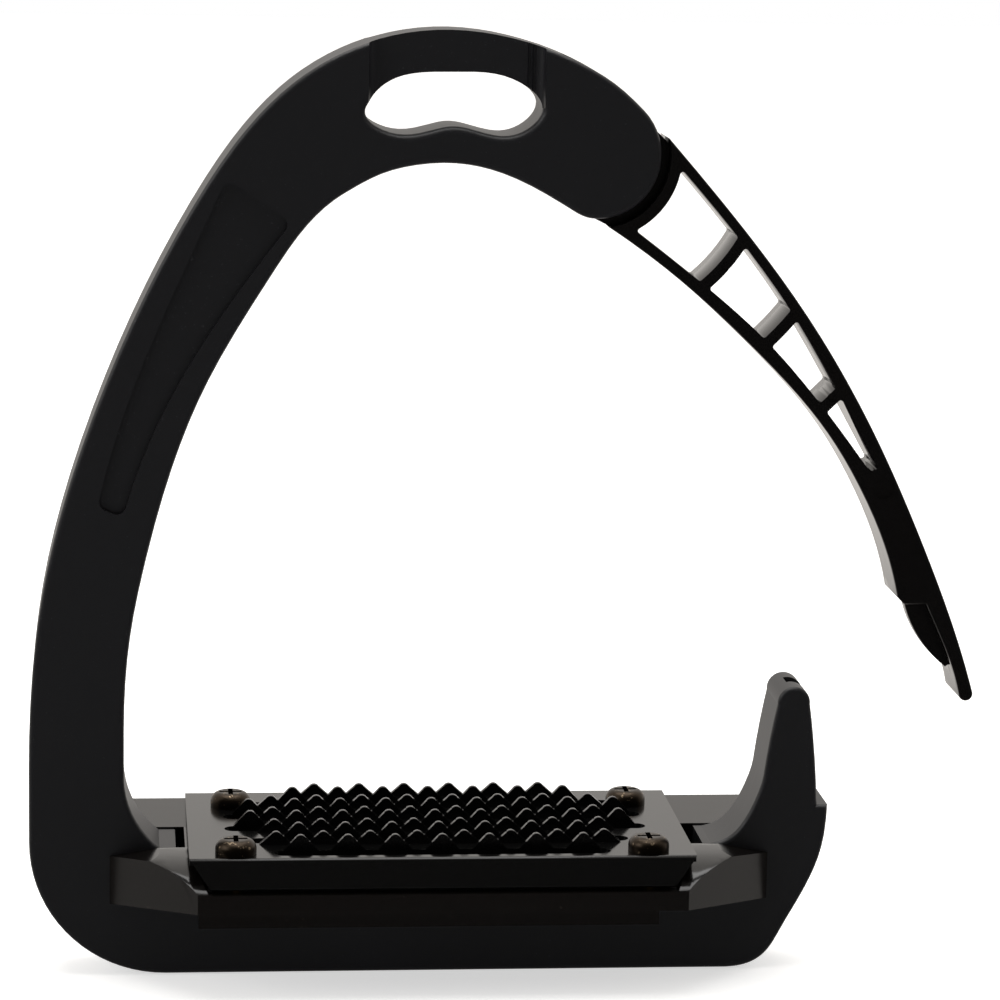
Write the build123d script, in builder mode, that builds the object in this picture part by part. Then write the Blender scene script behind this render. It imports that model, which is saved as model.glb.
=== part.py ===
from build123d import *
import math
import os

# A safety stirrup iron for the right foot, in millimetres.
# X runs across the foot, Y runs from the toe side to the heel side, Z is up.
# The origin is on the flat foot of the frame, under the middle of the tread.

# ---- driving dimensions ----

frame_height = 174.0
frame_thickness = 14.0
leg_width = 17.3                # the closed leg, just above the tread
leg_gap = 11.7                  # end of the tread plate to the inner face of the closed leg
frame_edge_round = 0.9
foot_corner_radius = 25.0
tongue_top = 24.0               # top of the two short tongues that end against the carrier
tongue_gap_left = 2.2           # end of the tread plate to the end of each tongue
tongue_gap_right = 3.6
bar_top = 14.5                  # top of the bottom bar, under the carrier

hinge_x = 27.0
hinge_drop = 22.0               # below the top of the frame
cheek_radius = 11.5
eye_radius = 10.6
clevis_gap = 6.8
eye_thickness = 5.6
washer_thickness = 0.5
washer_radius = 8.0
floor_clearance = 0.5           # round floor of the fork, past the cheeks' rim
pin_radius = 3.0
pin_head_radius = 4.6
pin_head_depth = 1.6
pin_thread_radius = 2.4
pin_thread_length = 2.4
socket_radius = 1.5
bush_radius = 4.2
running_clearance = 0.05        # pin in bush, and bush or pin in its washers

ball_radius = 1.75
ball_gap = 0.3                  # ball to the rim of the eye, past the notches
ball_travel = 0.6
bore_clearance = 0.05
bore_length = 9.0
bore_tilt = 3.3                 # degrees, up towards the closed leg
notch_radius = 1.9
notch_depth = 0.35
coil_wire = 0.5
coil_turns = 4

arm_thickness = 13.0
arm_wall_radius = 13.3          # round inner wall of the arm, about the hinge
bar_width = 2.15                # cross bars of the ladder
window_radii = (15.3, 31.8, 47.6, 63.6)   # where each window starts, about the hinge
window_corner = 0.5
arm_edge_round = 0.5
fin_thickness = 3.2
fin_head = (86.8, 69.5)         # the fin's round edge, on the open arm
fin_middle = (90.0, 62.0)
fin_foot = (95.2, 56.5)
open_angle = 60.0
close_angle = 13.8
mark_radius = 2.0               # round ejector mark below the ladder
mark_place = (81.3, 91.3)
gate_radius = 0.85              # small round marks on two of the cross bars
gate_places = ((50.8, 132.1), (71.1, 108.1))
mark_depth = 0.25

groove_side_clearance = 0.3
groove_floor_clearance = 0.5

slot_left = -14.8               # strap slot
slot_right = 16.8
slot_height = 9.4
slot_drop = 9.0                 # upper corners of the slot, below the top of the frame
slot_crown = 1.5                # rise of the slot's upper edge
slot_sag = 1.3                  # rise of its lower edge
slot_shoulder = 4.6             # length of each rounded end
slot_edge_round = 1.2
bar_recess = 2.2                # the strap bar is set back from each face
recess_left = -14.5
recess_right = 17.2
recess_corner = 1.8
flute_radius = 0.4
flute_places = (0.1, 0.95)      # from the start of the recess's round corner
leg_pocket_depth = 0.8
leg_pocket_corner = 1.8

plate_length = 92.0
plate_depth = 48.0
plate_top = 26.5
plate_sheet = 1.5
flange_height = 6.0             # from the top of the plate to the flange's lower edge
flange_taper = 4.0
bend_radius = 1.0

tooth_pitch = 8.6
tooth_width = 6.2
tooth_heights = (2.8, 2.4)      # on the rear lips and on the front lips of the slits
tooth_round = 0.9
tooth_root = 0.3
tooth_sheet = 1.0
slit_teeth = ((0, 7), (8, 7), (8, 9), (8, 9), (8, 7), (6, 0))     # on each slit's front and rear lip
slit_width = 3.6                # the sheet that the teeth were bent up from
slit_pitch = 8.5
first_slit = 4.2                # middle of the first slit, from the front edge of the plate
slit_over = 3.4                 # the slit's ends reach past the outermost teeth

screw_inset = 8.4               # from the plate's ends
front_screw_inset = 4.6         # from the plate's front and rear edges
rear_screw_inset = 10.0
screw_radius = 2.0
screw_head_radius = 3.75
screw_head_height = 2.7
screw_head_side = 0.9           # height of the head's straight side
screw_length = 9.0
cross_width = 0.9
cross_length = 4.2
cross_depth = 1.2
screw_hole_clearance = 0.2
insert_radius = 3.0
insert_length = 5.5

carrier_proud = 0.8             # front and rear faces, past the plate's edges
carrier_rim_front = 20.2
carrier_base_front = 16.5
carrier_base_wing = 13.6
carrier_rim_wing = 22.7
wing_reach_left = 14.4          # past the ends of the plate
wing_reach_right = 15.9
nose_inset = 1.5                # front corners, inside the ends of the plate
carrier_fit = 0.15              # carrier to the sides of the frame
carrier_wing_top = 24.2
carrier_lip_drop = 3.6          # the lip below the front face
carrier_lip_inset = 3.5
lip_inset_left = 0.2            # ends of the lip, from the front corners
lip_inset_right = 4.9
carrier_roof = 3.5
carrier_heel_top = 25.5         # crest of the heel-side wings
pocket_pitch = 21.0
pocket_width = 9.5
pocket_y = 15.2
end_gap = 0.5                   # wing to the end of the plate
pad_thickness = 1.0
pad_inset = 4.0                 # from the ends of the plate

fixing_x = 24.0
fixing_radius = 2.5
fixing_head_radius = 4.5
fixing_head_height = 2.5
fixing_length = 15.0
fixing_socket_radius = 1.5
fixing_sink = 0.2

# ---- values worked out from them ----

half_frame = frame_thickness / 2
half_length = plate_length / 2
half_plate = plate_depth / 2
half_arm = arm_thickness / 2
half_gap = clevis_gap / 2
leg_inner = half_length + leg_gap
leg_outer = leg_inner + leg_width
tongue_left = half_length + tongue_gap_left
tongue_right = half_length + tongue_gap_right
carrier_front = half_plate + carrier_proud
carrier_nose = half_length - nose_inset
carrier_wing_left = half_length + wing_reach_left
carrier_wing_right = half_length + wing_reach_right
wing_bend_left = half_length + 5
wing_bend_right = half_length + 6
floor_radius = cheek_radius + floor_clearance
web_radius = arm_wall_radius + 0.8
hinge_z = frame_height - hinge_drop
hinge = (hinge_x, hinge_z)
slot_top = frame_height - slot_drop
slot_foot = slot_top - slot_height
slot_middle = (slot_left + slot_right) / 2
pad_top = bar_top + pad_thickness
plate_bottom = plate_top - plate_sheet
flange_bottom = plate_top - flange_height
fixing_seat = plate_bottom - fixing_sink - fixing_head_height     # under the fixing screws' heads
screw_places = [(side * (half_length - screw_inset), y) for side in (-1, 1)
                for y in (front_screw_inset - half_plate, half_plate - rear_screw_inset)]

os.makedirs("parts", exist_ok=True)


def save(piece, name):
    piece.label = name
    export_step(piece, "parts/" + name + ".step")


def turned(point, center, degrees):
    """A point turned about a center, anticlockwise as the toe side is seen."""
    turn = math.radians(degrees)
    dx = point[0] - center[0]
    dz = point[1] - center[1]
    return (center[0] + dx * math.cos(turn) - dz * math.sin(turn),
            center[1] + dx * math.sin(turn) + dz * math.cos(turn))


# The outlines below are drawn for a frame of this height around a plate of this half length.
# spread() and on_arm() move their points when those two sizes change.
drawn_height = 174.0
drawn_half_length = 46.0
drawn_hinge = (27.0, 152.0)
drawn_tip = (99.6, 52.6)
post_level = 55.0               # what is below it keeps its height
crown_level = 75.0              # what is above it keeps its distance from the top


def spread(x, z):
    """A point of the frame: low ones move sideways with the plate's ends, high ones up with the top."""
    rise = (z - post_level) / (crown_level - post_level)
    fall = (drawn_height - z) / (drawn_height - post_level)
    rise = max(0, min(1, rise))
    fall = max(0, min(1, fall))
    side = 1 if x > 0 else -1
    return (x + side * fall * (half_length - drawn_half_length), z + rise * (frame_height - drawn_height))


drawn_reach = math.dist(drawn_hinge, drawn_tip)
drawn_closed_tip = turned(drawn_tip, drawn_hinge, -close_angle)
closed_tip = spread(*drawn_closed_tip)
arm_stretch = math.dist(hinge, closed_tip) / drawn_reach
arm_line = math.degrees(math.atan2(drawn_tip[1] - drawn_hinge[1], drawn_tip[0] - drawn_hinge[0]))
arm_turn = math.degrees(math.atan2(closed_tip[1] - hinge_z, closed_tip[0] - hinge_x)) + close_angle - arm_line


window_starts = window_radii[:1] + tuple(arm_stretch * radius for radius in window_radii[1:])


def on_arm(x, z):
    """A point of the open arm, stretched along the line from the hinge to the tip."""
    along, across = turned((x - drawn_hinge[0], z - drawn_hinge[1]), (0, 0), -arm_line)
    dx, dz = turned((along * arm_stretch, across), (0, 0), arm_line + arm_turn)
    return (hinge_x + dx, hinge_z + dz)


def arm_closed(x, z):
    """A point of the open arm, turned to where it is when the arm is shut."""
    return turned(on_arm(x, z), hinge, -close_angle)


def at_hinge(radius, angle):
    """A point at a radius and an angle in degrees about the hinge."""
    return (hinge_x + radius * math.cos(math.radians(angle)),
            hinge_z + radius * math.sin(math.radians(angle)))


def ring(outer, inner, start, thickness):
    """A flat ring about the hinge axis, from the Y of its toe-side face."""
    with BuildPart() as piece:
        with BuildSketch(Plane.XZ.offset(-start)):
            with Locations(hinge):
                Circle(outer)
                Circle(inner, mode=Mode.SUBTRACT)
        extrude(amount=-thickness)
    return piece.part


# ---- frame: one flat casting with a closed leg, a fork for the hinge and a short post ----

cheek_tangent = at_hinge(cheek_radius, 45)
mouth_angle = 45 + open_angle + 5       # the fork is open from here round to the foot opening
ball_angle = 180 - bore_tilt


def bore_plane(radius):
    """A plane across the ball's bore, at a distance from the hinge, facing away from it."""
    x, z = at_hinge(radius, ball_angle)
    away = (math.cos(math.radians(ball_angle)), 0, math.sin(math.radians(ball_angle)))
    return Plane(origin=(x, 0, z), x_dir=(0, 1, 0), z_dir=away)


with BuildPart() as frame:
    foot_left = foot_corner_radius - leg_outer
    foot_right = spread(54, 0)
    leg_start = (-leg_outer, 38)
    cheek_foot = at_hinge(cheek_radius, -90)
    arch_left = spread(-18.7, 144.6)
    leg_inside = (-leg_inner, 46)
    tongue_root_left = (-half_length - 5.2, tongue_top)
    tongue_root_right = (half_length + 5.2, tongue_top)
    post_inside = spread(62.9, 50.5)
    post_outside = spread(69.0, 50.5)
    step_inside = spread(70.9, 31.3)
    step_outside = spread(72.9, 31.3)
    with BuildSketch(Plane.XZ):
        with BuildLine():
            Line(foot_right, (foot_left, 0))
            CenterArc((foot_left, foot_corner_radius), foot_corner_radius, 180, 90)
            Line((-leg_outer, foot_corner_radius), leg_start)
            Spline(leg_start, spread(-72, 74), spread(-63.4, 104), spread(-45.6, 142.1), spread(-26.6, 165.3),
                   spread(0, drawn_height), spread(27.5, 166.3), cheek_tangent, tangents=[(0, 1), (1, -1)])
            ThreePointArc(cheek_tangent, at_hinge(cheek_radius, -30), cheek_foot)
            Spline(cheek_foot, spread(22.4, 142.1), spread(15.4, 146.1), spread(8.0, 149.1), spread(0, 150.3),
                   spread(-9, 149.2), arch_left, tangents=[(-1, 0), (-1, -0.62)])
            Spline(arch_left, spread(-31.6, 129.7), spread(-44.4, 107.1), spread(-54.2, 76.1), leg_inside,
                   tangents=[(-1, -0.62), (0, -1)])
            Line(leg_inside, (-leg_inner, 37))
            ThreePointArc((-leg_inner, 37), (-leg_inner + 1.7, 30), tongue_root_left)
            Polyline(tongue_root_left, (-tongue_left, tongue_top), (-tongue_left, bar_top),
                     (tongue_right, bar_top), (tongue_right, tongue_top), tongue_root_right)
            Spline(tongue_root_right, spread(56.6, 27.3), spread(59.8, 33.6), post_inside,
                   tangents=[(1, 0.15), (0.2, 1)])
            ThreePointArc(post_inside, spread(65.95, 53.8), post_outside)
            Spline(post_outside, spread(70.2, 41), step_inside)
            Line(step_inside, step_outside)
            Spline(step_outside, spread(71.5, 21), spread(64.8, 7.3), foot_right, tangents=[(0, -1), (-1, 0)])
        make_face()
    extrude(amount=half_frame, both=True)
    faces_front_back = frame.faces().filter_by(Axis.Y)
    fillet(faces_front_back.edges(), frame_edge_round)

    # strap slot, with soft edges and with the strap bar set back from both faces
    with BuildSketch(Plane.XZ):
        with BuildLine():
            Spline((slot_left, slot_foot + slot_height / 2), (slot_left + slot_shoulder, slot_top),
                   (slot_middle, slot_top + slot_crown), (slot_right - slot_shoulder, slot_top),
                   (slot_right, slot_foot + slot_height / 2), (slot_right - slot_shoulder, slot_foot),
                   (slot_middle, slot_foot + slot_sag), (slot_left + slot_shoulder, slot_foot), periodic=True)
        make_face()
    extrude(amount=half_frame, both=True, mode=Mode.SUBTRACT)
    slot_edges = frame.faces().filter_by(Axis.Y).edges().filter_by(
        lambda edge: abs(edge.center().Z - slot_foot - slot_height / 2) < slot_height
        and slot_left - 1 < edge.center().X < slot_right + 1
        and abs(edge.center().Y) > half_frame - 0.01)
    fillet(slot_edges, slot_edge_round)
    with BuildSketch(Plane.XY.offset(slot_top - slot_height / 2)) as recess:
        for side in (-1, 1):
            with Locations(((recess_left + recess_right) / 2, side * half_frame)):
                Rectangle(recess_right - recess_left, 2 * bar_recess)
        fillet(recess.vertices(), recess_corner)
        for side in (-1, 1):
            for step in flute_places:
                with Locations((recess_right - recess_corner - step, side * (half_frame - bar_recess))):
                    Circle(flute_radius)
    extrude(amount=frame_height - slot_top + slot_height, mode=Mode.SUBTRACT)

    # shallow pocket along the leg, on both faces
    with BuildSketch(Plane.XZ.offset(half_frame - leg_pocket_depth)) as leg_pocket:
        with BuildLine():
            Spline(spread(-62.5, 87.6), spread(-55.7, 110.4), spread(-48.2, 128.3), spread(-39.7, 147.2))
            Line(spread(-39.7, 147.2), spread(-28.0, 139.4))
            Spline(spread(-28.0, 139.4), spread(-42.3, 119.7), spread(-53.2, 99.6), spread(-57.9, 85.6))
            Line(spread(-57.9, 85.6), spread(-62.5, 87.6))
        make_face()
        fillet(leg_pocket.vertices(), leg_pocket_corner)
    extrude(amount=2 * leg_pocket_depth, mode=Mode.SUBTRACT)
    with BuildSketch(Plane.XZ.offset(-half_frame - leg_pocket_depth)):
        add(leg_pocket.sketch.moved(Location((0, frame_thickness, 0))))
    extrude(amount=2 * leg_pocket_depth, mode=Mode.SUBTRACT)

    # fork for the arm's eye, with a round floor and an open mouth
    with BuildSketch(Plane.XZ):
        with Locations(hinge):
            Circle(floor_radius)
            Rectangle(60, 100, rotation=mouth_angle - 90, align=(Align.MIN, Align.CENTER))
    extrude(amount=half_gap, both=True, mode=Mode.SUBTRACT)

    # hinge pin: head sunk in the heel-side cheek, thread in the toe-side cheek
    with BuildSketch(Plane.XZ.offset(-half_frame)):
        with Locations(hinge):
            Circle(pin_head_radius)
    extrude(amount=pin_head_depth, mode=Mode.SUBTRACT)
    with BuildSketch(Plane.XZ.offset(-half_frame)):
        with Locations(hinge):
            Circle(pin_radius)
    extrude(amount=frame_thickness / 2, mode=Mode.SUBTRACT)
    with BuildSketch(Plane.XZ):
        with Locations(hinge):
            Circle(pin_thread_radius)
    extrude(amount=half_gap + pin_thread_length, mode=Mode.SUBTRACT)

    # bore for the ball catch, in from the floor of the fork
    with BuildSketch(bore_plane(floor_radius - 0.6)):
        Circle(ball_radius + bore_clearance)
    extrude(amount=bore_length + 0.6, mode=Mode.SUBTRACT)

    # groove in the post for the arm's fin
    groove_low = arm_closed(*fin_foot)
    groove_mid = arm_closed(*fin_middle)
    groove_high = arm_closed(*fin_head)
    deep = groove_floor_clearance
    with BuildSketch(Plane.XZ):
        with BuildLine():
            ThreePointArc((groove_high[0] - deep, groove_high[1]),
                          (groove_mid[0] - deep, groove_mid[1] - deep / 2),
                          (groove_low[0] - deep / 2, groove_low[1] - 2 * deep))
            Polyline((groove_low[0] - deep / 2, groove_low[1] - 2 * deep), (80, groove_low[1] - deep),
                     (80, groove_high[1]), (groove_high[0] - deep, groove_high[1]))
        make_face()
    extrude(amount=fin_thickness / 2 + groove_side_clearance, both=True, mode=Mode.SUBTRACT)

    # tapped holes for the two screws that hold the carrier
    with Locations(Plane.XY.offset(bar_top)):
        with Locations((-fixing_x, 0), (fixing_x, 0)):
            Hole(fixing_radius, depth=fixing_length - (fixing_seat - bar_top))

save(frame.part, "frame")


# ---- arm: moulded ladder that opens about the hinge ----

def ladder_window(inner, outer):
    """The opening between the rails, from one cross bar to the next."""
    with BuildSketch(Plane.XZ) as window:
        with BuildLine():
            Spline(on_arm(40.2, 151.8), on_arm(52.8, 137.4), on_arm(62.9, 124.1), on_arm(73, 107.6),
                   on_arm(80.2, 94.9))
            Line(on_arm(80.2, 94.9), on_arm(78.6, 94.4))
            Spline(on_arm(78.6, 94.4), on_arm(69, 106.9), on_arm(58.3, 118.8), on_arm(46.1, 129.3),
                   on_arm(31.5, 140.4))
            Line(on_arm(31.5, 140.4), on_arm(40.2, 151.8))
        make_face()
        with Locations(hinge):
            Circle(outer, mode=Mode.INTERSECT)
            Circle(inner, mode=Mode.SUBTRACT)
        fillet(window.vertices(), window_corner)
    return window.sketch


with BuildPart() as arm:
    # ladder and tongue
    with BuildSketch(Plane.XZ):
        with BuildLine():
            Spline(on_arm(39.2, 155.9), on_arm(52.7, 140.4), on_arm(66.5, 122.5), on_arm(79.5, 101.0),
                   on_arm(89.9, 78.9), on_arm(96.6, 62.0), on_arm(*drawn_tip))
            ThreePointArc(on_arm(*drawn_tip), on_arm(98.5, 51.0), on_arm(97.0, 52.2))
            Spline(on_arm(97.0, 52.2), on_arm(95.6, 57.2), on_arm(93.7, 61.9), on_arm(90.2, 69.4))
            Polyline(on_arm(90.2, 69.4), on_arm(86.0, 69.4), on_arm(84.7, 70.7))
            Spline(on_arm(84.7, 70.7), on_arm(82.5, 78.9), on_arm(77.5, 90.2), on_arm(70.6, 101.4),
                   on_arm(56.6, 116.8), on_arm(42.4, 129.5), on_arm(27.8, 139.9))
            Line(on_arm(27.8, 139.9), on_arm(39.2, 155.9))
        make_face()
    extrude(amount=half_arm, both=True)
    fillet(arm.faces().filter_by(Axis.Y).edges(), arm_edge_round)
    with BuildSketch(Plane.XZ):
        with Locations(hinge):
            Circle(arm_wall_radius)
    extrude(amount=half_arm, both=True, mode=Mode.SUBTRACT)
    window_ends = [start - bar_width for start in window_starts[1:]] + [drawn_reach * arm_stretch]
    for start, end in zip(window_starts, window_ends):
        extrude(ladder_window(start, end), amount=half_arm, both=True, mode=Mode.SUBTRACT)

    # thin eye that turns between the cheeks of the frame
    with BuildSketch(Plane.XZ):
        with Locations(hinge):
            Circle(eye_radius)
        with BuildLine():
            Polyline(hinge, at_hinge(eye_radius, 45), at_hinge(web_radius, 5), at_hinge(web_radius, -22),
                     at_hinge(web_radius, -64), at_hinge(web_radius, -75), at_hinge(eye_radius, -113), hinge)
        make_face()
    extrude(amount=eye_thickness / 2, both=True)
    with BuildSketch(Plane.XZ):
        with Locations(hinge):
            Circle(bush_radius)
        for stop in (ball_angle + close_angle, ball_angle - open_angle):
            with Locations(at_hinge(eye_radius + notch_radius - notch_depth, stop)):
                Circle(notch_radius)
    extrude(amount=eye_thickness / 2, both=True, mode=Mode.SUBTRACT)

    # fin that enters the post's groove
    with BuildSketch(Plane.XZ):
        with BuildLine():
            ThreePointArc(on_arm(*fin_head), on_arm(*fin_middle), on_arm(*fin_foot))
            Polyline(on_arm(*fin_foot), on_arm(96.2, 57.2), on_arm(96.4, 60), on_arm(91.5, 72),
                     on_arm(fin_head[0], 72), on_arm(*fin_head))
        make_face()
    extrude(amount=fin_thickness / 2, both=True)

    # round marks of the mould on the toe side
    with BuildSketch(Plane.XZ.offset(half_arm)):
        with Locations(on_arm(*mark_place)):
            Circle(mark_radius)
        with Locations(*[on_arm(*place) for place in gate_places]):
            Circle(gate_radius)
    extrude(amount=-mark_depth, mode=Mode.SUBTRACT)

save(arm.part, "arm")


# ---- hinge: shouldered pin, bush and two thrust washers ----

with BuildPart() as hinge_pin:
    with BuildSketch(Plane.XZ.offset(-half_frame + pin_head_depth)):
        with Locations(hinge):
            Circle(pin_radius)
    extrude(amount=half_frame - pin_head_depth + half_gap)
    with BuildSketch(Plane.XZ.offset(-half_frame)):
        with Locations(hinge):
            Circle(pin_head_radius)
    extrude(amount=pin_head_depth)
    chamfer(hinge_pin.faces().sort_by(Axis.Y)[-1].edges(), 0.3)
    with BuildSketch(Plane.XZ.offset(-half_frame)):
        with Locations(hinge):
            RegularPolygon(socket_radius, 6)
    extrude(amount=pin_head_depth, mode=Mode.SUBTRACT)
    with BuildSketch(Plane.XZ.offset(half_gap)):
        with Locations(hinge):
            Circle(pin_thread_radius)
    extrude(amount=pin_thread_length)
save(hinge_pin.part, "hinge_pin")

hinge_bush = ring(bush_radius, pin_radius + running_clearance, -eye_thickness / 2, eye_thickness)
save(hinge_bush, "hinge_bush")
washer_front = ring(washer_radius, pin_radius, -half_gap, washer_thickness)
save(washer_front, "thrust_washer_front")
washer_rear = ring(washer_radius, pin_radius, half_gap - washer_thickness, washer_thickness)
save(washer_rear, "thrust_washer_rear")


# ---- ball catch: a sprung ball that clicks into notches in the eye's rim ----

ball_center = eye_radius + ball_gap + ball_radius
with BuildPart() as catch_ball:
    with Locations(bore_plane(ball_center)):
        Sphere(ball_radius)
save(catch_ball.part, "catch_ball")

spring_start = ball_center + ball_radius
spring_end = floor_radius + bore_length - ball_travel - 0.2
coil_radius = ball_radius - coil_wire / 2 - 0.15
coil_height = spring_end - spring_start - coil_wire
with BuildPart() as catch_spring:
    with BuildLine():
        coil_base = bore_plane(spring_start + coil_wire / 2)
        coil = Helix(pitch=coil_height / coil_turns, height=coil_height, radius=coil_radius,
                     center=coil_base.origin, direction=coil_base.z_dir)
    with BuildSketch(Plane(origin=coil @ 0, z_dir=coil % 0)):
        Circle(coil_wire / 2)
    sweep(is_frenet=True)
save(catch_spring.part, "catch_spring")


# ---- carrier: moulded saddle that sits over the bottom bar ----

def carrier_profile():
    """Cut across the carrier, toe side to the left."""
    with BuildSketch(Plane.YZ) as profile:
        with BuildLine():
            Polyline((-carrier_front, carrier_base_front), (-half_frame, carrier_base_wing),
                     (half_frame, carrier_base_wing), (carrier_front, carrier_base_front),
                     (carrier_front, carrier_heel_top - 1.5), (carrier_front - 1.5, carrier_heel_top),
                     (half_frame, carrier_wing_top), (-half_frame, carrier_wing_top))
            Spline((-half_frame, carrier_wing_top), (-16.5, carrier_wing_top - 0.5),
                   (-carrier_front, carrier_rim_front), tangents=[(-1, 0), (-0.75, -0.66)])
            Line((-carrier_front, carrier_rim_front), (-carrier_front, carrier_base_front))
        make_face()
    return profile.sketch


with BuildPart() as tread_carrier:
    with BuildSketch(Plane.XY.offset(carrier_base_wing)) as plan:
        with BuildLine():
            Polyline((-carrier_nose, -carrier_front), (carrier_nose, -carrier_front),
                     (carrier_wing_right, -half_frame), (carrier_wing_right, carrier_front),
                     (-carrier_wing_left, carrier_front), (-carrier_wing_left, -half_frame), close=True)
        make_face()
        fillet(plan.vertices().group_by(Axis.Y)[-1], 3)
    extrude(amount=plate_top - carrier_base_wing)
    extrude(carrier_profile(), amount=carrier_wing_right, both=True, mode=Mode.INTERSECT)

    # outer ends of the toe-side wings fall away
    with BuildSketch(Plane.XZ.offset(half_frame)):
        with BuildLine():
            Polyline((-wing_bend_left, carrier_wing_top + 0.02),
                     (-carrier_wing_left - 1, carrier_rim_wing - 0.2),
                     (-carrier_wing_left - 1, plate_top), (-wing_bend_left, plate_top), close=True)
        make_face()
        with BuildLine():
            Polyline((wing_bend_right, carrier_wing_top + 0.02),
                     (carrier_wing_right + 1, carrier_rim_wing - 0.5),
                     (carrier_wing_right + 1, plate_top), (wing_bend_right, plate_top), close=True)
        make_face()
    extrude(amount=carrier_front, mode=Mode.SUBTRACT)

    # lip under the front and rear faces
    lip_left = lip_inset_left - carrier_nose
    lip_right = carrier_nose - lip_inset_right
    lip_depth = carrier_front - carrier_lip_inset - half_frame
    with BuildSketch(Plane.XY.offset(carrier_base_front - carrier_lip_drop)):
        for side in (-1, 1):
            with Locations(((lip_left + lip_right) / 2, side * (half_frame + lip_depth / 2))):
                Rectangle(lip_right - lip_left, lip_depth)
    extrude(amount=carrier_lip_drop + 1)

    # seat for the tread plate and its flanges
    with BuildSketch(Plane.XZ):
        with BuildLine():
            Polyline((-half_length - end_gap, plate_top + 1), (-half_length - end_gap, plate_top),
                     (-half_length - end_gap + flange_taper, flange_bottom - end_gap),
                     (half_length + end_gap - flange_taper, flange_bottom - end_gap),
                     (half_length + end_gap, plate_top), (half_length + end_gap, plate_top + 1),
                     close=True)
        make_face()
    extrude(amount=carrier_front + 1, both=True, mode=Mode.SUBTRACT)
    with Locations((0, 0, carrier_rim_front - 1)):
        Box(plate_length - 2 * flange_taper - 1, 2 * (half_plate - plate_sheet - carrier_fit),
            plate_bottom - carrier_rim_front + 1, align=(Align.CENTER, Align.CENTER, Align.MIN))

    # room for the frame: bottom bar, pad and the two tongues
    with Locations((0, 0, 0)):
        Box(2 * carrier_wing_right, frame_thickness + 2 * carrier_fit, pad_top, mode=Mode.SUBTRACT,
            align=(Align.CENTER, Align.CENTER, Align.MIN))
    for side in (-1, 1):
        with Locations((side * (half_length + end_gap), 0, 0)):
            Box(carrier_wing_right, frame_thickness + 2 * carrier_fit, 2 * plate_top, mode=Mode.SUBTRACT,
                align=(Align.MIN if side > 0 else Align.MAX, Align.CENTER, Align.CENTER))

    # lightening pockets from below, between ribs
    for side in (-1, 1):
        with BuildSketch(Plane.XY):
            with Locations((0, side * pocket_y)):
                with GridLocations(pocket_pitch, 1, 3, 1):
                    RectangleRounded(pocket_pitch - 1.8, pocket_width, 1.5)
        extrude(amount=plate_bottom - carrier_roof, mode=Mode.SUBTRACT)

    # holes for the inserts and for the two fixing screws
    with Locations(*[(x, y, plate_bottom) for x, y in screw_places]):
        Hole(insert_radius, depth=insert_length)
        Hole(screw_radius + screw_hole_clearance, depth=screw_length - plate_sheet + 0.5)
    with Locations((-fixing_x, 0, plate_bottom), (fixing_x, 0, plate_bottom)):
        CounterBoreHole(fixing_radius + screw_hole_clearance, fixing_head_radius + screw_hole_clearance,
                        fixing_head_height + fixing_sink)
save(tread_carrier.part, "tread_carrier")

with BuildPart() as carrier_pad:
    with Locations((0, 0, bar_top)):
        Box(plate_length - 2 * pad_inset, frame_thickness, pad_thickness,
            align=(Align.CENTER, Align.CENTER, Align.MIN))
    with Locations((-fixing_x, 0, pad_top), (fixing_x, 0, pad_top)):
        Hole(fixing_radius + screw_hole_clearance)
save(carrier_pad.part, "carrier_pad")


# ---- tread plate: folded sheet with rows of punched teeth ----

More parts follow.
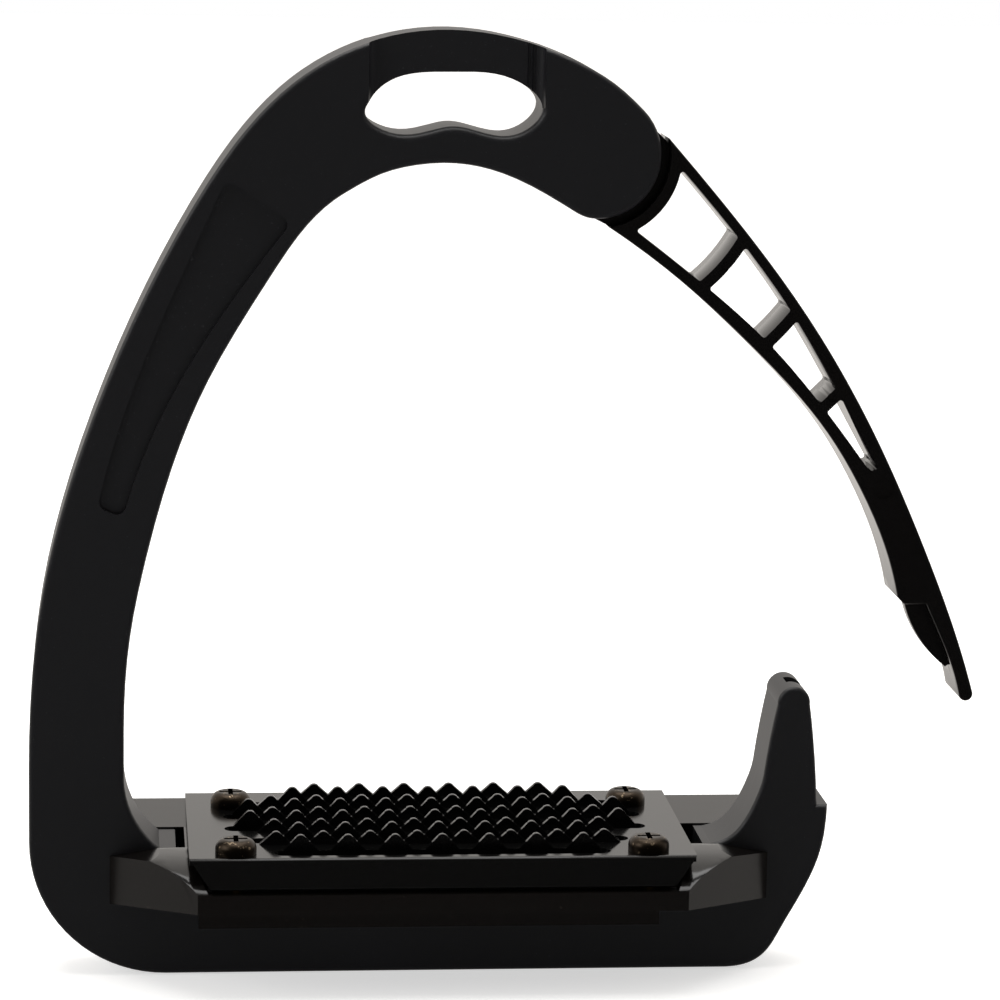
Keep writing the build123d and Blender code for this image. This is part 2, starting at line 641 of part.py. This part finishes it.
with BuildPart() as tread_plate:
    with BuildSketch(Plane.YZ) as fold:
        with Locations((0, plate_top)):
            Rectangle(plate_depth, flange_height, align=(Align.CENTER, Align.MAX))
        fillet(fold.vertices().group_by(Axis.Z)[-1], bend_radius)
        with Locations((0, plate_bottom)):
            Rectangle(plate_depth - 2 * plate_sheet, flange_height, align=(Align.CENTER, Align.MAX),
                      mode=Mode.SUBTRACT)
    extrude(amount=half_length, both=True)

    # slanted ends of the flanges
    with BuildSketch(Plane.XZ.offset(half_plate - plate_sheet)) as slants:
        for side in (-1, 1):
            with BuildLine():
                Polyline((side * half_length, plate_top),
                         (side * (half_length - flange_taper), flange_bottom),
                         (side * half_length, flange_bottom), close=True)
            make_face()
    extrude(amount=plate_sheet, mode=Mode.SUBTRACT)
    with BuildSketch(Plane.XZ.offset(-half_plate)):
        add(slants.sketch.moved(Location((0, plate_depth - plate_sheet, 0))))
    extrude(amount=plate_sheet, mode=Mode.SUBTRACT)

    # each slit has its lips cut to teeth and bent up
    slit_places = [first_slit - half_plate + slit * slit_pitch for slit in range(len(slit_teeth))]
    with BuildSketch(Plane.XY.offset(plate_top)):
        for y, counts in zip(slit_places, slit_teeth):
            with Locations((0, y)):
                SlotOverall((max(counts) - 1) * tooth_pitch + tooth_width + slit_over, slit_width)
    extrude(amount=-plate_sheet, mode=Mode.SUBTRACT)
    for y, counts in zip(slit_places, slit_teeth):
        for side, count, height in zip((-1, 1), counts, tooth_heights[::-1]):
            if count > 0:
                with BuildSketch(Plane.XZ.offset(-y - side * (slit_width + tooth_sheet) / 2)):
                    for number in range(count):
                        x = (number - (count - 1) / 2) * tooth_pitch
                        shoulder = plate_top + height - tooth_round / 2
                        with BuildLine():
                            Polyline((x - tooth_round, shoulder), (x - tooth_width / 2, plate_top),
                                     (x - tooth_width / 2, plate_top - tooth_root),
                                     (x + tooth_width / 2, plate_top - tooth_root),
                                     (x + tooth_width / 2, plate_top), (x + tooth_round, shoulder))
                            ThreePointArc((x - tooth_round, shoulder), (x, plate_top + height),
                                          (x + tooth_round, shoulder))
                        make_face()
                extrude(amount=tooth_sheet / 2, both=True)

    with Locations(*[(x, y, plate_top) for x, y in screw_places]):
        Hole(screw_radius + screw_hole_clearance, depth=plate_sheet)
save(tread_plate.part, "tread_plate")


# ---- fasteners ----

with BuildPart() as tread_screws:
    for x, y in screw_places:
        with Locations((x, y, plate_top)):
            Cylinder(screw_head_radius, screw_head_height, align=(Align.CENTER, Align.CENTER, Align.MIN))
    fillet(tread_screws.edges().group_by(Axis.Z)[-1], screw_head_height - screw_head_side)
    for x, y in screw_places:
        with Locations((x, y, plate_top)):
            Cylinder(screw_radius, screw_length, align=(Align.CENTER, Align.CENTER, Align.MAX))
        for length, width in ((cross_length, cross_width), (cross_width, cross_length)):
            with Locations((x, y, plate_top + screw_head_height)):
                Box(length, width, 2 * cross_depth, mode=Mode.SUBTRACT)
save(tread_screws.part, "tread_screws")

with BuildPart() as tread_inserts:
    for x, y in screw_places:
        with Locations((x, y, plate_bottom)):
            Cylinder(insert_radius, insert_length, align=(Align.CENTER, Align.CENTER, Align.MAX))
            Cylinder(screw_radius, insert_length, align=(Align.CENTER, Align.CENTER, Align.MAX),
                     mode=Mode.SUBTRACT)
save(tread_inserts.part, "tread_inserts")

with BuildPart() as carrier_screws:
    for x in (-fixing_x, fixing_x):
        with Locations((x, 0, plate_bottom - fixing_sink)):
            Cylinder(fixing_head_radius, fixing_head_height, align=(Align.CENTER, Align.CENTER, Align.MAX))
        with Locations((x, 0, fixing_seat)):
            Cylinder(fixing_radius, fixing_length, align=(Align.CENTER, Align.CENTER, Align.MAX))
        with BuildSketch(Plane.XY.offset(plate_bottom - fixing_sink)):
            with Locations((x, 0)):
                RegularPolygon(fixing_socket_radius, 6)
        extrude(amount=-fixing_head_height * 0.6, mode=Mode.SUBTRACT)
save(carrier_screws.part, "carrier_screws")
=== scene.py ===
# %% [markdown]
# # A safety stirrup iron
#
# This notebook dresses a finished CAD model of a stirrup iron. The model's parts come in at their real
# size and in their real places, in metres. Nothing here moves or resizes them. What is added is finish:
# lacquers, moulded plastic, oxide on the screws, and the small relief that those finishes need.
# X runs across the foot, Y from the toe side to the heel side, and Z is up.

# %% Load the model
import math

import bmesh
import bpy
from mathutils import Matrix, Vector

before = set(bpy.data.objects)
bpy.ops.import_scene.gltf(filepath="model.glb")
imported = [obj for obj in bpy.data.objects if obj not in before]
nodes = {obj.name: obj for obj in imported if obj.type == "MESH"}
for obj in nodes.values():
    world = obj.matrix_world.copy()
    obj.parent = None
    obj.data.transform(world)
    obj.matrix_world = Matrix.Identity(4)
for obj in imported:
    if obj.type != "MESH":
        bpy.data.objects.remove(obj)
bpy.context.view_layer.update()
print("parts loaded:", len(nodes))

# %% [markdown]
# ## Two small helpers
#
# Sizes are easier to think of in millimetres, and colours in the hex codes that a picture editor shows.
# Blender works in metres and in linear light, so one value and one function turn the first into the second.
# A third helper adds a shader node, sets it and links it, so that each finish below reads as a short recipe.

# %% Millimetres, colours and shader nodes
MM = 0.001


def colour(hex_code):
    """A colour from its sRGB hex code, in the linear values that Blender's shaders work with."""
    parts = [int(hex_code[i:i + 2], 16) / 255 for i in (1, 3, 5)]
    linear = [c / 12.92 if c <= 0.04045 else ((c + 0.055) / 1.055) ** 2.4 for c in parts]
    return (*linear, 1.0)


def add_node(tree, kind, settings=None, **inputs):
    """Adds a node. Settings are its options. Inputs are values, or sockets to link to."""
    node = tree.nodes.new(kind)
    for name, value in (settings or {}).items():
        setattr(node, name, value)
    for name, value in inputs.items():
        socket = node.inputs[int(name[1:])] if name[0] == "_" else node.inputs[name.replace("_", " ")]
        if isinstance(value, bpy.types.NodeSocket):
            tree.links.new(value, socket)
        else:
            socket.default_value = value
    return node


print("one millimetre is", MM, "of Blender's metres")

# %% [markdown]
# ## The camera
#
# A product picture like this is taken from a little above, with a long lens, so that the two legs look
# nearly parallel. The camera stands 0.7 m in front of the stirrup and a hand's breadth to the left.
# Turning a camera in Blender is easiest in three steps: tilt it down from the vertical, roll it, and
# then turn it about the vertical axis.

# %% Place the camera
camera_data = bpy.data.cameras.new("camera")
camera_data.lens = 139.36
camera_data.sensor_width = 36.0
camera_data.clip_start = 10 * MM
camera = bpy.data.objects.new("camera", camera_data)
stand = Vector((-59.588, -696.691, 216.206)) * MM
turn_right = math.radians(5.792)
tilt_down = math.radians(10.391)
roll = math.radians(1.108)
camera.matrix_world = (
    Matrix.Translation(stand)
    @ Matrix.Rotation(-turn_right, 4, "Z")
    @ Matrix.Rotation(math.pi / 2 - tilt_down, 4, "X")
    @ Matrix.Rotation(roll, 4, "Z")
)
bpy.context.scene.collection.objects.link(camera)
bpy.context.scene.camera = camera
print("camera at", [round(c, 3) for c in camera.matrix_world.translation])

# %% [markdown]
# ## Floor and light
#
# Gloss black is all reflection: it shows the room, not itself. So the room is built first. It is a light
# tent, white all round behind and above, and dark where the camera stands. The dark side keeps the flat
# front faces black, and the white side turns every surface that is seen at a low angle to light grey.

# %% A plain pale floor
floor_half_width = 3.0
floor_drop = 0.2 * MM           # so that the foot and the floor don't lie in the same plane
floor_mesh = bpy.data.meshes.new("floor")
floor_form = bmesh.new()
bmesh.ops.create_grid(floor_form, x_segments=1, y_segments=1, size=floor_half_width)
floor_form.to_mesh(floor_mesh)
floor_form.free()
floor = bpy.data.objects.new("floor", floor_mesh)
floor.location.z = -floor_drop
bpy.context.scene.collection.objects.link(floor)

floor_paper = bpy.data.materials.new("white_paper")
floor_paper.use_nodes = True
floor_shader = floor_paper.node_tree.nodes["Principled BSDF"]
floor_shader.inputs["Base Color"].default_value = colour("#F4F4F3")
floor_shader.inputs["Roughness"].default_value = 0.9
floor_shader.inputs["Emission Color"].default_value = colour("#FFFFFF")
floor_shader.inputs["Emission Strength"].default_value = 0.6
floor_mesh.materials.append(floor_paper)

# The camera sees the floor, but the gloss surfaces don't: a white floor would grey the front faces.
floor.visible_glossy = False
print("floor laid", floor_mesh.polygons[0].area, "square metres")

# %% The light tent
# A direction's Y, and a part of its Z, say how far it points to the white side.
share_of_height = 0.45
dark_from, white_from = -0.45, 0.6
dark_strength, white_strength = 0.03, 0.92

world = bpy.data.worlds.new("light_tent")
world.use_nodes = True
tent = world.node_tree
tent.nodes.clear()
view = add_node(tent, "ShaderNodeTexCoord")
direction = add_node(tent, "ShaderNodeSeparateXYZ", Vector=view.outputs["Generated"])
lifted = add_node(tent, "ShaderNodeMath", {"operation": "MULTIPLY_ADD"}, _0=direction.outputs["Z"],
                  _1=share_of_height, _2=direction.outputs["Y"])
walls = add_node(tent, "ShaderNodeMapRange", {"interpolation_type": "SMOOTHSTEP"}, Value=lifted.outputs[0],
                 From_Min=dark_from, From_Max=white_from, To_Min=dark_strength, To_Max=white_strength)
inside = add_node(tent, "ShaderNodeBackground", Color=colour("#F7F2EC"), Strength=walls.outputs[0])
backdrop = add_node(tent, "ShaderNodeBackground", Color=colour("#FFFFFF"), Strength=1.0)
ray = add_node(tent, "ShaderNodeLightPath")
either = add_node(tent, "ShaderNodeMixShader", _0=ray.outputs["Is Camera Ray"], _1=inside.outputs[0],
                  _2=backdrop.outputs[0])
add_node(tent, "ShaderNodeOutputWorld", Surface=either.outputs[0])
bpy.context.scene.world = world
bpy.context.scene.view_settings.view_transform = "Standard"


def soft_light(name, place, target, size, power):
    """A square softbox that faces a point. Sizes are in metres and power is in watts."""
    data = bpy.data.lights.new(name, "AREA")
    data.size = size
    data.energy = power
    light = bpy.data.objects.new(name, data)
    light.location = place
    light.rotation_euler = (Vector(target) - Vector(place)).to_track_quat("-Z", "Y").to_euler()
    bpy.context.scene.collection.objects.link(light)
    return light


middle = (0.0, 0.0, 0.08)
soft_light("top_softbox", (0.0, 0.15, 1.2), middle, 1.0, 9.0)
soft_light("left_softbox", (-1.1, -0.35, 0.7), middle, 0.7, 3.0)

# %% [markdown]
# ## Finishes
#
# Every finish starts from the same plain shader. What tells powder coat from gloss nylon is its roughness
# and the size of its relief, so each recipe sets those two things. All patterns hang on the object's own
# coordinates, in millimetres of the real part.

# %% Start a finish
def start_finish(name, base, roughness, metallic=0.0):
    """A material with one plain shader, and the object's own coordinates to hang patterns on."""
    material = bpy.data.materials.new(name)
    material.use_nodes = True
    tree = material.node_tree
    shader = tree.nodes["Principled BSDF"]
    shader.inputs["Base Color"].default_value = colour(base)
    shader.inputs["Roughness"].default_value = roughness
    shader.inputs["Metallic"].default_value = metallic
    place = add_node(tree, "ShaderNodeTexCoord")
    return material, tree, shader, place.outputs["Object"]


def per_metre(size_mm):
    """The scale of a noise whose cells are that many millimetres wide."""
    return 1 / (size_mm * MM)


def add_relief(tree, shader, place, size_mm, height_mm, strength):
    """Shallow bumps of one size, worked out from a noise."""
    noise = add_node(tree, "ShaderNodeTexNoise", Vector=place, Scale=per_metre(size_mm), Detail=3.0)
    bump = add_node(tree, "ShaderNodeBump", Height=noise.outputs[0], Strength=strength,
                    Distance=height_mm * MM)
    tree.links.new(bump.outputs[0], shader.inputs["Normal"])


def add_specks(tree, shader, place, size_mm, share, base, speck):
    """Scattered specks of a second colour. The share is how much of the surface they take."""
    noise = add_node(tree, "ShaderNodeTexNoise", Vector=place, Scale=per_metre(size_mm), Detail=1.0)
    mask = add_node(tree, "ShaderNodeMapRange", Value=noise.outputs[0], From_Min=0.75 - share,
                    From_Max=0.8 - share)
    mixed = add_node(tree, "ShaderNodeMix", {"data_type": "RGBA"}, Factor=mask.outputs[0],
                     _6=colour(base), _7=colour(speck))
    tree.links.new(mixed.outputs[2], shader.inputs["Base Color"])


print("one noise cell of 1 mm has scale", per_metre(1.0))

# %% The finishes of the outside
# Powder coat on the frame: matt, with a grain like very fine sand.
coat, tree, shader, place = start_finish("matt_black_powder_coat", "#18181B", 0.42)
add_relief(tree, shader, place, 0.3, 0.02, 0.3)
add_specks(tree, shader, place, 0.5, 0.04, "#18181B", "#2C2C30")

# Gloss nylon on the arm, as it comes from a polished mould, with a slight waviness.
gloss, tree, shader, place = start_finish("gloss_black_nylon", "#0A0909", 0.09)
add_relief(tree, shader, place, 5.0, 0.02, 0.12)

# The carrier's nylon has glass fibre in it, so its skin is a little duller.
satin, tree, shader, place = start_finish("glass_filled_nylon", "#100E0D", 0.16)
add_relief(tree, shader, place, 1.5, 0.015, 0.2)
add_specks(tree, shader, place, 0.8, 0.02, "#100E0D", "#24201D")

# Lacquer on the folded steel of the tread.
lacquer, tree, shader, place = start_finish("gloss_tread_lacquer", "#0B0B0B", 0.14)
add_relief(tree, shader, place, 2.5, 0.02, 0.15)

# Black oxide on the tread screws wears to a speckled bronze.
oxide, tree, shader, place = start_finish("worn_black_oxide", "#3A322A", 0.34, 1.0)
add_relief(tree, shader, place, 0.6, 0.04, 0.5)
add_specks(tree, shader, place, 0.7, 0.1, "#3A322A", "#8A7A66")
print("outside finishes:", [m.name for m in (coat, gloss, satin, lacquer, oxide)])

# %% The finishes of the inside
# Ground steel for the hinge pin, with fine wear all over.
ground, tree, shader, place = start_finish("ground_steel", "#9C9CA0", 0.28, 1.0)
add_relief(tree, shader, place, 0.4, 0.005, 0.3)

# Sintered bronze is grainy, because it is pressed from powder and holds oil.
bronze, tree, shader, place = start_finish("sintered_bronze", "#8C6A3C", 0.48, 1.0)
add_relief(tree, shader, place, 0.25, 0.02, 0.4)
add_specks(tree, shader, place, 0.3, 0.08, "#8C6A3C", "#4E3A20")

# Acetal for the thrust washers: white, waxy and slippery.
acetal, tree, shader, place = start_finish("white_acetal", "#E6E3DA", 0.38)
add_relief(tree, shader, place, 1.0, 0.01, 0.2)

# A polished ball and its spring of drawn wire.
polished, tree, shader, place = start_finish("polished_stainless", "#C9CACC", 0.07, 1.0)
add_relief(tree, shader, place, 0.8, 0.002, 0.2)
wire, tree, shader, place = start_finish("drawn_spring_wire", "#8F9092", 0.3, 1.0)
add_relief(tree, shader, place, 0.2, 0.005, 0.4)

# Rubber under the carrier, brass inserts, and zinc on the two fixing screws.
rubber, tree, shader, place = start_finish("damping_rubber", "#141414", 0.8)
add_relief(tree, shader, place, 0.5, 0.03, 0.5)
brass, tree, shader, place = start_finish("turned_brass", "#B08D4A", 0.25, 1.0)
add_relief(tree, shader, place, 0.3, 0.01, 0.3)
zinc, tree, shader, place = start_finish("zinc_plate", "#A9ACB0", 0.36, 1.0)
add_relief(tree, shader, place, 0.6, 0.01, 0.3)
print("inside finishes:", [m.name for m in (ground, bronze, acetal, polished, wire, rubber, brass, zinc)])

# %% Give each part its finish
finishes = {
    "frame": coat, "arm": gloss, "tread_carrier": satin, "tread_plate": lacquer, "tread_screws": oxide,
    "hinge_pin": ground, "hinge_bush": bronze, "thrust_washer_front": acetal, "thrust_washer_rear": acetal,
    "catch_ball": polished, "catch_spring": wire, "carrier_pad": rubber, "tread_inserts": brass,
    "carrier_screws": zinc,
}
for name, node in nodes.items():
    node.data.materials.clear()
    node.data.materials.append(finishes[name])
print("parts with a finish:", len(finishes))

# %% [markdown]
# ## Soft edges
#
# No real edge is perfectly sharp. A lacquered tooth or a moulded rail shows each edge as a thin line of
# light. Blender's Bevel modifier rounds only the edges that turn by more than a set angle. The Weld
# modifier comes first, because the faces of a CAD mesh don't share their corner points until they are
# joined.

# %% Round the edges that catch the light
edge_rounds = {"arm": 0.15, "tread_carrier": 0.2, "tread_plate": 0.14, "tread_screws": 0.1}   # in mm
join_distance = 0.002 * MM
sharpest_left_alone = math.radians(35)
for name, radius in edge_rounds.items():
    weld = nodes[name].modifiers.new("join_corners", "WELD")
    weld.merge_threshold = join_distance
    bevel = nodes[name].modifiers.new("soft_edges", "BEVEL")
    bevel.width = radius * MM
    bevel.segments = 2
    bevel.limit_method = "ANGLE"
    bevel.angle_limit = sharpest_left_alone
print("parts with soft edges:", list(edge_rounds))
